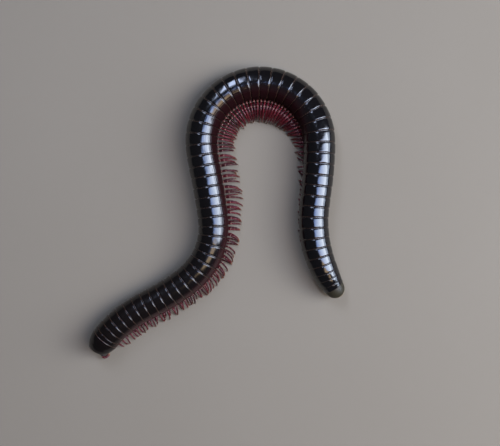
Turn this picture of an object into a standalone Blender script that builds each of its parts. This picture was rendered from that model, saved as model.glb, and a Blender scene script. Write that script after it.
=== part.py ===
"""A pachyiulus millipede lying in a loose hook, life size.

The floor is z = 0 and the origin lies under the middle of the animal, so the
head points to -X -Y and the arch of the hook to +Y. Driving sizes are in
millimetres and degrees, and the objects are made in metres. A place is a
distance along the body's axis, counted from the front of the head.
"""
import math

import bpy
import bmesh
import numpy as np
from mathutils import Matrix, Vector

MM = 0.001

# The body's axis seen from above, from head to tail, as stretches of (length, turn to the left)
PATH_START = (-23.8, -27.55)
PATH_HEADING = 58.6
PATH_STRETCHES = (
    (14.5, -33.6),
    (9.5, 14.0),
    (13.5, 59.0),
    (13.0, 4.0),
    (9.5, -46.0),
    (30.0, -146.0),
    (12.0, -9.0),
    (20.0, 48.0),
)
PATH_STEP = 0.1
PATH_SMOOTHING = 5.0
SMOOTHING_SAMPLES = 21

# Sizes that change along the body, as (place, value)
RADIUS = ((0, 2.6), (3, 2.85), (27, 2.95), (45, 3.1), (72, 3.3), (88, 3.25), (100, 3.05),
          (112, 2.9), (116, 2.75), (118, 2.5), (120, 2.15), (122, 1.7))
ROLL = ((0, 10), (3, 16), (7, 28), (14, 33), (25, 40), (36, 48), (50, 62), (58, 72),
        (80, 72), (88, 45), (92, 26), (100, 10), (112, 3), (122, 0))
CLEARANCE = ((0, 0.65), (6, 0.65), (14, 0.5), (30, 0.35), (50, 0.15), (58, 0), (83, 0),
             (90, 0.45), (95, 0.75), (114, 0.75), (122, 0.5))
NECK_DIP = ((0, 1.3), (1, 0.95), (2, 0.6), (3, 0.3), (4.5, 0.08), (7, 0))

# The rings: their lengths, and the step from each ring's rear rim into the next one's groove
RING_LENGTH = ((3, 1.0), (6, 1.5), (10, 1.8), (34, 1.87), (44, 2.12), (106, 2.12), (112, 1.9), (119, 1.3))
RING_SIDES = 14
RINGS_START = 3.3
RINGS_END = 119.4
HALF_STEP = 0.17
GROOVE = 0.95
SHOULDER = 0.985
SHOULDER_PLACE = 0.35
MOST_RINGS = 6
FEWEST_RINGS = 3
MOST_BEND = 43.0

# The legs
SINGLE_PAIR_RINGS = 3
LEGLESS_RINGS = 2
ROOT_SPREAD = 12.0
ROOT_DEPTH = 0.72
REACH = ((3, 3.9), (8, 4.7), (25, 5.0), (36, 5.5), (41, 6.5), (46, 6.8), (53, 6.9), (58, 7.3),
         (66, 7.7), (80, 7.7), (88, 5.9), (93, 4.5), (100, 3.4), (110, 3.0), (119, 2.3))
LOWER_REACH = ((12, 0.85), (28, 0.95), (46, 1.5), (60, 1.7), (72, 1.75))
OUTER_REACH = -0.9
OUTER_LEGS_START = 95.0
LEG_RADII = (0.34, 0.31, 0.28, 0.16)
LEG_SIDES = 4
LEG_LOWEST = 0.3
BODY_TO_LEG = 0.55
KNEE_RISE = 0.0083
LOWER_KNEE_RISE = 0.1
KNEE_PLACE = 0.42
ANKLE_PLACE = 0.85
ANKLE_SHARE = 0.58
ANKLE_LOWEST = (0.95, 0.7)
PAIR_SHARES = (0.25, 0.75)
LEGS_IN_BUNCH = 3
BUNCHING = 0.3
SWEEP = ((3, 0), (8, 0.2), (25, 0.7), (60, 0.7), (74, 0.3), (90, 0.5), (110, 0.7), (119, 0.2))
SWEEP_SHARES = (0, 0.25, 0.7, 1.0)

# The collum, the plate behind the head
COLLUM_STATIONS = ((0.75, 0.8), (1.0, 0.88), (1.6, 0.96), (2.3, 0.99), (RINGS_START - HALF_STEP, 1.0))
COLLUM_LOWER_EDGE = -0.9

# The head, in its own axes: right, forward and up
HEAD_PLACE = 1.45
HEAD_HEIGHT = 2.6
HEAD_PITCH = 28.0
HEAD_ROLL = 10.0
HEAD_HALF = (2.15, 1.6, 1.85)
CHEEK_CENTRE = (1.2, 0.35, -0.95)
CHEEK_HALF = (0.78, 0.9, 0.85)
LABRUM_CENTRE = (0.0, 1.0, -1.25)
LABRUM_HALF = (0.95, 0.45, 0.55)
LIP_PLATE_CENTRE = (0.0, -0.3, -1.4)
LIP_PLATE_HALF = (1.1, 0.95, 0.45)
EYE_DIRECTION = (0.72, 0.6, 0.38)
EYE_HALF = (0.46, 0.38, 0.3)
CUT_GAP = 0.3
ANTENNA_DIRECTION = (0.5, 0.85, -0.08)
ANTENNA_ROUTE = ((0.2, 0.5, -0.05), (0.5, 0.7, -0.4), (0.7, 0.65, -0.9), (0.75, 0.45, -1.35),
                 (0.7, 0.15, -1.7))
ANTENNA_RADII = (0.27, 0.25, 0.25, 0.28, 0.32, 0.2)
ANTENNA_SIDES = 8
LOWEST_ANTENNA = 0.5

# The tail: a hood, and two valves under and behind it
TAIL_PLACE = 119.7
TAIL_HALF = (2.05, 2.8, 1.85)
HOOD_CUT_SLOPE = 55.0
HOOD_CUT_DEPTH = 0.75
VALVE_SCALE = 0.9

# How many columns and rows a ball of each size has
LARGE_BALL = (20, 12)
MIDDLE_BALL = (16, 10)
SMALL_BALL = (12, 8)

# Colour and roughness of each finish
FINISHES = {
    "cuticle": ((0.010, 0.009, 0.010), 0.25),
    "leg": ((0.075, 0.020, 0.026), 0.25),
    "antenna": ((0.075, 0.020, 0.026), 0.4),
    "eye": ((0.004, 0.004, 0.005), 0.1),
}


def value_at(table, place):
    """The value that a table of (place, value) gives at a place."""
    places, values = zip(*table)
    return float(np.interp(place, places, values))


def walk_path():
    """Places, points and headings every PATH_STEP along the body's axis."""
    lengths, turns = zip(*PATH_STRETCHES)
    ends = np.cumsum((0,) + lengths)
    corners = np.cumsum((PATH_HEADING,) + turns)
    count = int(round(ends[-1] / PATH_STEP))
    middles = (np.arange(count) + 0.5) * PATH_STEP
    window = np.linspace(-0.5, 0.5, SMOOTHING_SAMPLES) * PATH_SMOOTHING
    heading = np.mean([np.interp(middles + shift, ends, corners) for shift in window], axis=0)
    east = PATH_START[0] + np.concatenate([[0], np.cumsum(np.cos(np.radians(heading)) * PATH_STEP)])
    north = PATH_START[1] + np.concatenate([[0], np.cumsum(np.sin(np.radians(heading)) * PATH_STEP)])
    return np.arange(count + 1) * PATH_STEP, east, north, np.append(heading, heading[-1])


PATH = walk_path()


def axis_height(place):
    """Height of the body's axis: its flat lower side lies on the floor or clears it."""
    flat = value_at(RADIUS, place) * math.cos(math.pi / RING_SIDES)
    return flat + value_at(CLEARANCE, place) - value_at(NECK_DIP, place)


def axis_point(place):
    """A point of the body's axis."""
    places, east, north = PATH[:3]
    return Vector((np.interp(place, places, east), np.interp(place, places, north), axis_height(place)))


def inner_side(place):
    """The level direction to the inside of the hook, which is the animal's left."""
    heading = math.radians(np.interp(place, PATH[0], PATH[3]))
    return Vector((math.sin(heading), -math.cos(heading), 0))


def axes_at(place):
    """The directions to the tail, to the inside of the hook, and up, at a place."""
    inner = inner_side(place)
    tailward = (axis_point(place + PATH_STEP) - axis_point(place - PATH_STEP)).normalized()
    tailward = (tailward - inner * tailward.dot(inner)).normalized()
    return tailward, inner, inner.cross(tailward)


def animal_matrix(place, height, roll, pitch=0.0):
    """Local axes right, forward and up at a place, rolled to the left and pitched down."""
    tailward, inner, up = axes_at(place)
    level_forward = Vector((-tailward.x, -tailward.y, 0)).normalized()
    base = Matrix((-inner, level_forward, Vector((0, 0, 1)))).transposed().to_4x4()
    centre = axis_point(place)
    centre.z = height
    turn = Matrix.Rotation(math.radians(roll), 4, "Y") @ Matrix.Rotation(math.radians(-pitch), 4, "X")
    return Matrix.Translation(centre) @ base @ turn


def material(name, finish):
    """A plain glossy cuticle in one colour."""
    colour, roughness = FINISHES[finish]
    made = bpy.data.materials.new(name)
    made.use_nodes = True
    shader = made.node_tree.nodes["Principled BSDF"]
    shader.inputs["Base Color"].default_value = (*colour, 1)
    shader.inputs["Roughness"].default_value = roughness
    return made


def add_object(name, mesh_in_mm, finish="cuticle", matrix=None):
    """Turns a bmesh in millimetres into an object in metres."""
    if matrix is not None:
        bmesh.ops.transform(mesh_in_mm, matrix=matrix, verts=mesh_in_mm.verts)
    bmesh.ops.recalc_face_normals(mesh_in_mm, faces=mesh_in_mm.faces)
    bmesh.ops.scale(mesh_in_mm, vec=(MM, MM, MM), verts=mesh_in_mm.verts)
    mesh = bpy.data.meshes.new(name)
    mesh_in_mm.to_mesh(mesh)
    mesh_in_mm.free()
    mesh.materials.append(material(name, finish))
    made = bpy.data.objects.new(name, mesh)
    COLLECTION.objects.link(made)
    return made


def loft(sections):
    """A closed skin through sections that have the same number of points."""
    skin = bmesh.new()
    rows = [[skin.verts.new(point) for point in section] for section in sections]
    for row, following in zip(rows, rows[1:]):
        for index in range(len(row)):
            after = (index + 1) % len(row)
            skin.faces.new((row[index], row[after], following[after], following[index]))
    skin.faces.new(rows[0])
    skin.faces.new(rows[-1])
    return skin


def corner_angles(sides):
    """The angles of a polygon's corners, half a side past zero."""
    return [(corner + 0.5) * 2 * math.pi / sides for corner in range(sides)]


def ring_section(place, radius):
    """A level-sided polygon round the body's axis."""
    inner, up = axes_at(place)[1:]
    centre = axis_point(place)
    return [centre + radius * (math.sin(a) * inner - math.cos(a) * up) for a in corner_angles(RING_SIDES)]


def tube_sections(route, radii, reference, sides, flat_end=False):
    """Sections of a tube along a route, turned so that they don't twist."""
    sections = []
    for index, point in enumerate(route):
        before = route[max(index - 1, 0)]
        after = route[min(index + 1, len(route) - 1)]
        direction = (after - before).normalized()
        if flat_end and index == len(route) - 1:
            direction = Vector((0, 0, -1))
        across = (reference - direction * reference.dot(direction)).normalized()
        other = direction.cross(across)
        radius = radii[index]
        angles = corner_angles(sides)
        sections.append([point + radius * (math.cos(a) * across + math.sin(a) * other) for a in angles])
    return sections


def ellipsoid(half_sizes, fineness, centre=(0, 0, 0)):
    """An ellipsoid as a bmesh."""
    ball = bmesh.new()
    shape = Matrix.Translation(centre) @ Matrix.Diagonal((*half_sizes, 1))
    columns, rows = fineness
    bmesh.ops.create_uvsphere(ball, u_segments=columns, v_segments=rows, radius=1, matrix=shape)
    return ball


def combine(target, others, operation):
    """One Boolean of an object with a collection of closed objects, which are then removed.

    The solver is MANIFOLD, because EXACT leaves open edges where legs cross.
    """
    group = bpy.data.collections.new("others")
    bpy.context.scene.collection.children.link(group)
    for other in others:
        COLLECTION.objects.unlink(other)
        group.objects.link(other)
    modifier = target.modifiers.new("combine", "BOOLEAN")
    modifier.operation = operation
    modifier.operand_type = "COLLECTION"
    modifier.collection = group
    modifier.solver = "MANIFOLD"
    evaluated = target.evaluated_get(bpy.context.evaluated_depsgraph_get())
    result = bpy.data.meshes.new_from_object(evaluated)
    target.modifiers.remove(modifier)
    target.data = result
    for other in others:
        bpy.data.objects.remove(other)
    bpy.data.collections.remove(group)
    keep_largest(target)


def keep_largest(target):
    """Keeps only the largest closed surface of an object."""
    skin = bmesh.new()
    skin.from_mesh(target.data)
    waiting = set(skin.verts)
    islands = []
    while waiting:
        island = {waiting.pop()}
        front = set(island)
        while front:
            front = {edge.other_vert(vert) for vert in front for edge in vert.link_edges} - island
            island |= front
        waiting -= island
        islands.append(island)
    largest = max(islands, key=len)
    bmesh.ops.delete(skin, geom=[vert for vert in skin.verts if vert not in largest], context="VERTS")
    skin.to_mesh(target.data)
    skin.free()


def cut_away(skin, point, direction):
    """Cuts off what lies beyond a plane and closes the cut."""
    everything = skin.verts[:] + skin.edges[:] + skin.faces[:]
    cut = bmesh.ops.bisect_plane(skin, geom=everything, plane_co=point, plane_no=direction, clear_outer=True)
    edges = [item for item in cut["geom_cut"] if isinstance(item, bmesh.types.BMEdge)]
    bmesh.ops.edgeloop_fill(skin, edges=edges)
    return skin


def ring_places():
    """The places of the ring boundaries, from the collum to the tail."""
    places = [RINGS_START]
    while places[-1] < RINGS_END:
        places.append(places[-1] + value_at(RING_LENGTH, places[-1]))
    stretch = (RINGS_END - RINGS_START) / (places[-1] - RINGS_START)
    return [RINGS_START + (place - RINGS_START) * stretch for place in places]


def trunk_lengths(places):
    """Groups the rings into lengths that bend little, as (first ring, ring after the last)."""
    groups = []
    first = 0
    headings = np.interp(places, PATH[0], PATH[3])
    for ring in range(1, len(places) - 1):
        bend = abs(headings[ring + 1] - headings[first])
        legs_part = places[ring] < OUTER_LEGS_START <= places[ring + 1]
        if ring - first >= MOST_RINGS or bend > MOST_BEND or legs_part:
            groups.append((first, ring))
            first = ring
    if len(places) - 1 - first < FEWEST_RINGS:
        first = groups.pop()[0]
    groups.append((first, len(places) - 1))
    return groups


def trunk_skin(places):
    """The rings of one length: a groove, a shoulder and a rear rim on each."""
    sections = []
    for front, rear in zip(places, places[1:]):
        shoulder = front + (rear - front) * SHOULDER_PLACE
        for place, share in ((front + HALF_STEP, GROOVE), (shoulder, SHOULDER), (rear - HALF_STEP, 1.0)):
            sections.append(ring_section(place, share * value_at(RADIUS, place)))
    return loft(sections)


def leg_profile(place, row):
    """Root, knee, ankle and tip of a leg across the body, as (distance to the inside, height).

    row is 1 for the row nearer the inside of the hook and -1 for the other one.
    """
    radius = value_at(RADIUS, place)
    height = axis_height(place)
    roll = value_at(ROLL, place)
    angle = math.radians(roll + row * ROOT_SPREAD)
    root = (ROOT_DEPTH * radius * math.sin(angle), height - ROOT_DEPTH * radius * math.cos(angle))
    leaves = (radius * math.sin(angle), height - radius * math.cos(angle))
    if row > 0:
        reach = value_at(REACH, place)
        knee_height = leaves[1] + KNEE_RISE * roll
        ankle_height = max(ANKLE_SHARE * knee_height, ANKLE_LOWEST[0])
    else:
        share = value_at(LOWER_REACH, roll) if place < OUTER_LEGS_START else OUTER_REACH
        reach = radius * share
        knee_height = leaves[1] + LOWER_KNEE_RISE
        ankle_height = max(ANKLE_SHARE * knee_height, ANKLE_LOWEST[1])
    knee = leaves[0] + KNEE_PLACE * (reach - leaves[0])
    ankle = leaves[0] + ANKLE_PLACE * (reach - leaves[0])

    def below_body(side, wanted):
        """A height no nearer to the body's round side than a leg may lie."""
        if abs(side) >= radius:
            return wanted
        return max(min(wanted, height - math.sqrt(radius ** 2 - side ** 2) - BODY_TO_LEG), LEG_LOWEST)

    knee_point = (knee, below_body(knee, knee_height))
    ankle_point = (ankle, below_body(ankle, ankle_height))
    return root, knee_point, ankle_point, (reach, 0.0)


def leg_bunches(places, single_rings):
    """Places of a length's leg pairs, as (root place, lean of the tip towards the middle of its bunch)."""
    roots = []
    for ring, (front, rear) in enumerate(zip(places, places[1:])):
        shares = (0.5,) if ring < single_rings else PAIR_SHARES
        roots += [front + (rear - front) * share for share in shares]
    bunches = max(1, round(len(roots) / LEGS_IN_BUNCH))
    leaning = []
    for bunch in np.array_split(roots, bunches):
        middle = float(np.mean(bunch))
        leaning += [(float(root), (middle - float(root)) * BUNCHING) for root in bunch]
    return leaning


def leg_route(place, lean, row):
    """The points of a leg from its root inside the body to its foot on the floor."""
    route = []
    sweep = value_at(SWEEP, place)
    for (side, height), share in zip(leg_profile(place, row), SWEEP_SHARES):
        along = place + share * (lean - sweep)
        ground = axis_point(along)
        ground.z = 0
        route.append(ground + inner_side(along) * side + Vector((0, 0, height)))
    return route


def legs_of(places, single_rings):
    """The legs of one length of the trunk, both rows."""
    legs = []
    for place, lean in leg_bunches(places, single_rings):
        tailward = axes_at(place)[0]
        for row in (1, -1):
            route = leg_route(place, lean, row)
            sections = tube_sections(route, LEG_RADII, tailward, LEG_SIDES, flat_end=True)
            legs.append(add_object("leg", loft(sections), "leg"))
    return legs


def build_trunk():
    """The lengths of the trunk, each with its rings and legs in one closed body."""
    places = ring_places()
    last_legs = len(places) - 1 - LEGLESS_RINGS
    for number, (first, after) in enumerate(trunk_lengths(places), start=1):
        length = add_object(f"trunk_{number:02d}", trunk_skin(places[first:after + 1]))
        single_rings = max(0, SINGLE_PAIR_RINGS - first)
        combine(length, legs_of(places[first:min(after, last_legs) + 1], single_rings), "UNION")


def head_matrix():
    """The head's own axes in the world."""
    return animal_matrix(HEAD_PLACE, HEAD_HEIGHT, HEAD_ROLL, HEAD_PITCH)


def mirrored(point, side):
    """A point of the right side, or its mirror image on the left."""
    return (point[0] * side, point[1], point[2])


def widened(half_sizes):
    """Half sizes with the gap between neighbours added."""
    return [half + CUT_GAP for half in half_sizes]


def surface_matrix(direction, side):
    """A place on the head capsule, in a direction from its centre, with the third axis outward."""
    direction = Vector(mirrored(direction, side)).normalized()
    point = Vector([share * half for share, half in zip(direction, HEAD_HALF)])
    outward = Vector([share / half for share, half in zip(direction, HEAD_HALF)]).normalized()
    return Matrix.Translation(point) @ outward.to_track_quat("Z", "Y").to_matrix().to_4x4()


def eye_recess(frame, side):
    """A cutter that keeps the gap round an eye."""
    cutter = ellipsoid(widened(EYE_HALF), SMALL_BALL)
    return add_object("recess", cutter, matrix=frame @ surface_matrix(EYE_DIRECTION, side))


def mouth_parts():
    """Half sizes and centres of the labrum, the lower lip plate and the cheeks."""
    parts = [(LABRUM_HALF, LABRUM_CENTRE), (LIP_PLATE_HALF, LIP_PLATE_CENTRE)]
    return parts + [(CHEEK_HALF, mirrored(CHEEK_CENTRE, side)) for side in (1, -1)]


def build_head():
    """Head capsule with cheeks, labrum and lower lip plate, and a recess for each eye."""
    frame = head_matrix()
    head = add_object("head", ellipsoid(HEAD_HALF, LARGE_BALL), matrix=frame)
    lumps = []
    for half, centre in mouth_parts():
        lumps.append(add_object("lump", ellipsoid(half, SMALL_BALL, centre), matrix=frame))
    combine(head, lumps, "UNION")
    recesses = [eye_recess(frame, side) for side in (1, -1)]
    combine(head, recesses, "DIFFERENCE")


def build_eyes():
    """A low oval field of lenses on each side."""
    for name, side in (("eye_right", 1), ("eye_left", -1)):
        eye = ellipsoid(EYE_HALF, SMALL_BALL)
        add_object(name, eye, "eye", head_matrix() @ surface_matrix(EYE_DIRECTION, side))


def build_antennae():
    """Short clubbed antennae, folded down beside the mouth."""
    frame = head_matrix()
    for name, side in (("antenna_right", 1), ("antenna_left", -1)):
        socket = surface_matrix(ANTENNA_DIRECTION, side)
        start = socket @ Vector((0, 0, CUT_GAP))
        route = [frame @ start]
        route += [frame @ (start + Vector(mirrored(step, side))) for step in ANTENNA_ROUTE]
        for point in route:
            point.z = max(point.z, LOWEST_ANTENNA)
        reference = frame.to_3x3() @ Vector((1, 0, 0))
        sections = tube_sections(route, ANTENNA_RADII, reference, ANTENNA_SIDES)
        add_object(name, loft(sections), "antenna")


def build_collum():
    """The collar plate behind the head, hollowed where the head sits under it."""
    sections = [ring_section(place, share * value_at(RADIUS, place)) for place, share in COLLUM_STATIONS]
    skin = loft(sections)
    middle = animal_matrix(HEAD_PLACE, axis_height(HEAD_PLACE), HEAD_ROLL)
    down = middle.to_3x3() @ Vector((0, 0, -1))
    cut_away(skin, middle @ Vector((0, 0, COLLUM_LOWER_EDGE)), down)
    collum = add_object("collum", skin)
    frame = head_matrix()
    cutters = [add_object("hollow", ellipsoid(widened(HEAD_HALF), MIDDLE_BALL), matrix=frame)]
    for half, centre in mouth_parts():
        cutters.append(add_object("hollow", ellipsoid(widened(half), SMALL_BALL, centre), matrix=frame))
    for side in (1, -1):
        cutters.append(eye_recess(frame, side))
    combine(collum, cutters, "DIFFERENCE")


def tail_matrix():
    """Axes of the tail: right, forward and up."""
    return animal_matrix(TAIL_PLACE, axis_height(TAIL_PLACE), value_at(ROLL, TAIL_PLACE))


def build_tail():
    """The hood of the telson, and a left and a right anal valve."""
    frame = tail_matrix()
    slope = math.radians(HOOD_CUT_SLOPE)
    rear_down = Vector((0, -math.cos(slope), -math.sin(slope)))
    cut_point = rear_down * HOOD_CUT_DEPTH
    hood = ellipsoid(TAIL_HALF, LARGE_BALL)
    cut_away(hood, (0, 0, 0), (0, 1, 0))
    cut_away(hood, cut_point, rear_down)
    add_object("telson", hood, matrix=frame)
    for name, side in (("anal_valve_right", 1), ("anal_valve_left", -1)):
        valve = ellipsoid([half * VALVE_SCALE for half in TAIL_HALF], LARGE_BALL)
        cut_away(valve, cut_point + rear_down * CUT_GAP, -rear_down)
        cut_away(valve, (side * CUT_GAP / 2, 0, 0), (-side, 0, 0))
        add_object(name, valve, matrix=frame)


def clear_scene():
    """Removes every object that the scene holds."""
    for old in list(bpy.data.objects):
        bpy.data.objects.remove(old)


clear_scene()
COLLECTION = bpy.data.collections.new("pachyiulus_millipede")
bpy.context.scene.collection.children.link(COLLECTION)
build_head()
build_eyes()
build_antennae()
build_collum()
build_trunk()
build_tail()
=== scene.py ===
"""The looks of a pachyiulus millipede that lies in a loose hook, life size.

The driving sizes are in millimetres and degrees, and the objects are made in
metres. A place is a distance along the body's axis, counted from the front of
the head, as in the part's source. Each length of the trunk gets its rings and
its legs as two pieces, and the head, eyes, antennae, collum and tail follow.
"""

import math
from collections import namedtuple

import bpy
import numpy as np
from mathutils import Matrix, Vector


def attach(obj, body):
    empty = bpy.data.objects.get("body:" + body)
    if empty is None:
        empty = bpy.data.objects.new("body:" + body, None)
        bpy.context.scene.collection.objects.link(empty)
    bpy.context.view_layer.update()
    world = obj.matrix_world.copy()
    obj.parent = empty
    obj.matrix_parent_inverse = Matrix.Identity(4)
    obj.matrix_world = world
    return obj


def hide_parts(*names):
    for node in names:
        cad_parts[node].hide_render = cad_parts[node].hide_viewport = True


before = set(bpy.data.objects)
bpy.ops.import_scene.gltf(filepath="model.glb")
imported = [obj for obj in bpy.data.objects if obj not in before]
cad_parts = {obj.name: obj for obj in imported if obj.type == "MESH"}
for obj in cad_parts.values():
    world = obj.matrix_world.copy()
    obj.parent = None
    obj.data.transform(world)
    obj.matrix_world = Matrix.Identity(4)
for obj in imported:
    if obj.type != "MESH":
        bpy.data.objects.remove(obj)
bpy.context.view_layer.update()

MM = 0.001

# The layer of each piece's two pattern values. The second often counts rings or articles. A point's share of
# its own one is added to that, and stays below the next whole number.
PATTERN = "pattern"
LAST_SHARE = 0.999

# Sockets of a Mix node that mixes colours
FACTOR, FIRST, SECOND = 0, 6, 7

# The body's axis seen from above, from head to tail, as stretches of (length, turn to the left)
PATH_START = (-23.8, -27.55)
PATH_HEADING = 58.6
PATH_STRETCHES = (
    (14.5, -33.6),
    (9.5, 14.0),
    (13.5, 59.0),
    (13.0, 4.0),
    (9.5, -46.0),
    (30.0, -146.0),
    (12.0, -9.0),
    (20.0, 48.0),
)
PATH_STEP = 0.1
PATH_SMOOTHING = 5.0
SMOOTHING_SAMPLES = 21

# Sizes that change along the body, as (place, value)
RADIUS = ((0, 2.6), (3, 2.85), (27, 2.95), (45, 3.1), (72, 3.3), (88, 3.25), (100, 3.05),
          (112, 2.9), (116, 2.75), (118, 2.5), (120, 2.15), (122, 1.7))
ROLL = ((0, 10), (3, 16), (7, 28), (14, 33), (25, 40), (36, 48), (50, 62), (58, 72),
        (80, 72), (88, 45), (92, 26), (100, 10), (112, 3), (122, 0))
CLEARANCE = ((0, 0.65), (6, 0.65), (14, 0.5), (30, 0.35), (50, 0.15), (58, 0), (83, 0),
             (90, 0.45), (95, 0.75), (114, 0.75), (122, 0.5))
NECK_DIP = ((0, 1.3), (1, 0.95), (2, 0.6), (3, 0.3), (4.5, 0.08), (7, 0))

# The solids' rings have this many sides and lie on one of them
SOLID_SIDES = 14

# The rings, grouped into the solids' lengths of the trunk
RING_LENGTH = ((3, 1.0), (6, 1.5), (10, 1.8), (34, 1.87), (44, 2.12), (106, 2.12), (112, 1.9), (119, 1.3))
RINGS_START = 3.3
RINGS_END = 119.4
MOST_RINGS = 6
FEWEST_RINGS = 3
MOST_BEND = 43.0

# The last length has more and shorter rings than its solid: how many, how much they shorten towards the
# tail, and how much further they reach over it
TAIL_RINGS = 8
TAIL_SHORTENING = 0.38
TAIL_OVERLAP = 0.5

# One ring from front to rear, as (share of its length, share of the trunk's radius): the front part
# that slides under the ring before, the suture, the domed rear part, and its lip with the fold under it
RING_PROFILE = (
    (0.00, 0.953), (0.025, 0.957), (0.045, 0.9575), (0.058, 0.953), (0.068, 0.956), (0.08, 0.966),
    (0.096, 0.977), (0.118, 0.985), (0.15, 0.9895), (0.20, 0.9915), (0.30, 0.9930), (0.45, 0.9950),
    (0.60, 0.9968), (0.75, 0.9985), (0.85, 0.9995), (0.895, 0.9990), (0.92, 0.9965), (0.945, 0.9908),
    (0.968, 0.9825), (0.985, 0.9735), (0.996, 0.9650), (1.000, 0.9585), (0.997, 0.9545), (0.990, 0.9525),
    (0.98, 0.951),
)
RING_COLUMNS = 192

# The lengthwise lines of a ring: how many would go all round it, how deep they are as a share of its radius,
# and how they fade along its domed part, as (share, strength), and from belly to back, as (degrees, strength)
STRIAE = 48
STRIA_DEPTH = 0.009
DOME = ((0.10, 0.0), (0.18, 1.0), (0.84, 1.0), (0.92, 0.0))
STRIAE_FADE = ((0, 0.6), (30, 1.0), (75, 1.0), (105, 0.25), (125, 0.0), (180, 0.0))

# The hollow of the belly, as (share of the radius, width in degrees)
BELLY_HOLLOW = (0.035, 11.0)

# The unevenness of the rings, as waves of (size, waves round a ring, degrees from ring to ring, degrees along
# a ring): of the lip's place, as a share of the ring's length, and of the radius, as a share of it
LIP_RISE = ((0.85, 0.0), (0.95, 1.0))
LIP_WAVES = ((0.014, 7, 50, 0), (0.0084, 13, 137, 0))
RADIUS_WAVES = ((0.004, 0, 137.51, 0), (0.002, 2, 91, 0), (0.0009, 11, 97, 400), (0.0009, 17, -131, -520))

# The pores: the length of a ring and its half girth, where on both a pore lies as a share, the radii of its
# edge and its bottom, and how many rings have none
RING_SIZE = (2.1, 9.7)
PORE_PLACE = (0.24, 0.56)
PORE_RADII = (0.08, 0.05)
PORELESS_RINGS = 5.0

# The finest lines, 0.15 mm apart: how many there are from belly to back
FINE_LINES = 64

# The legs: where they grow, and the route of each as root, knee, ankle and tip. They are the solids' legs,
# except that the lower row reaches further.
SINGLE_PAIR_RINGS = 3
LEGLESS_RINGS = 2
ROOT_SPREAD = 12.0
ROOT_DEPTH = 0.72
REACH = ((3, 3.9), (8, 4.7), (25, 5.0), (36, 5.5), (41, 6.5), (46, 6.8), (53, 6.9), (58, 7.3),
         (66, 7.7), (80, 7.7), (88, 5.9), (93, 4.5), (100, 3.4), (110, 3.0), (119, 2.3))
LOWER_REACH = ((12, 0.88), (24, 1.1), (33, 1.4), (46, 1.85), (60, 2.05), (72, 2.1))
OUTER_REACH = -0.9
OUTER_LEGS_START = 95.0
LEG_LOWEST = 0.3
BODY_TO_LEG = 0.55
KNEE_RISE = 0.0083
LOWER_KNEE_RISE = 0.1
ANKLE_SHARE = 0.58
ANKLE_LOWEST = (0.95, 0.7)
KNEE_PLACE = 0.42
ANKLE_PLACE = 0.85
SINGLE_SHARES = (0.5,)
PAIR_SHARES = (0.25, 0.75)
LEGS_IN_BUNCH = 3
BUNCHING = 0.3

# How far forward of its root a foot is set, how much further back the lower row's is, and the share of each
# that a leg's five points take
SWEEP = ((3, 0), (8, 0.2), (25, 0.7), (60, 0.7), (74, 0.3), (90, 0.5), (110, 0.7), (119, 0.2))
SWEEP_SHARES = (0, 0, 0.15, 0.6, 1.0)
LOWER_ROW_SHIFT = 0.5
LOWER_ROW_SHARES = (0, 0, 0.8, 1.0, 1.0)

# How widely the seeded draws spread the feet's places, the legs' heights and their reach
FOOT_STRAY = 1.1
LEG_LIFT = 0.2
LEG_SHORTENING = 0.08

# The six articles of a leg, as (share of the leg where it ends, radius), the shape of one article, as (share
# of its length, share of its radius), and the claw, as (share of the leg, radius)
LEG_ARTICLES = ((0.07, 0.25), (0.24, 0.215), (0.44, 0.19), (0.59, 0.168), (0.75, 0.145), (0.945, 0.115))
ARTICLE_SHAPE = ((0.0, 0.82), (0.07, 0.90), (0.35, 0.96), (0.78, 1.04), (0.93, 1.0), (1.0, 0.86))
CLAW = ((0.95, 0.055), (0.97, 0.05), (0.99, 0.03), (1.0, 0.012))
LEG_COLUMNS = 10
LEG_SAMPLES = 48
FOOT_HEIGHT = 0.03

# Shares of a jointed tube: where its stub ends before the first article, the gap at each joint, and how far
# ahead and behind its direction is taken. The last is the pattern share of its stub and its claw.
STUB_SHARE = 0.9
JOINT_GAP = 0.002
DIRECTION_STEP = 0.02
MID_ARTICLE = 0.5

# The collum, the plate behind the head: its profile, as (share of its length, share of the trunk's radius),
# its front edge, as (degrees from the belly, place), its rear edge, and its corners, in degrees too
COLLUM_PROFILE = ((0.0, 0.80), (0.04, 0.845), (0.12, 0.885), (0.3, 0.94), (0.5, 0.972), (0.7, 0.992),
                  (0.85, 1.0), (0.93, 0.999), (0.97, 0.992), (1.0, 0.978))
COLLUM_FRONT = ((68, 2.35), (80, 1.75), (100, 1.2), (130, 0.92), (180, 0.8))
COLLUM_REAR = 3.43
COLLUM_CORNER = 71.0
COLLUM_COLUMNS = 120
COLLUM_SAMPLES = 54
COLLUM_FIRST_SHARE = 0.25
PLATE_THICKNESS = 0.16

# The neck under the collum
NECK_ENDS = (1.9, 3.8)
NECK_SHARE = 0.78
NECK_LOOPS = 8
NECK_COLUMNS = 48
NECK_SHADE = (0.25, 0.1)

# A rounded form: half sizes, columns and rows of its mesh, and pattern values
Orb = namedtuple("Orb", "half grid pattern")

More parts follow.
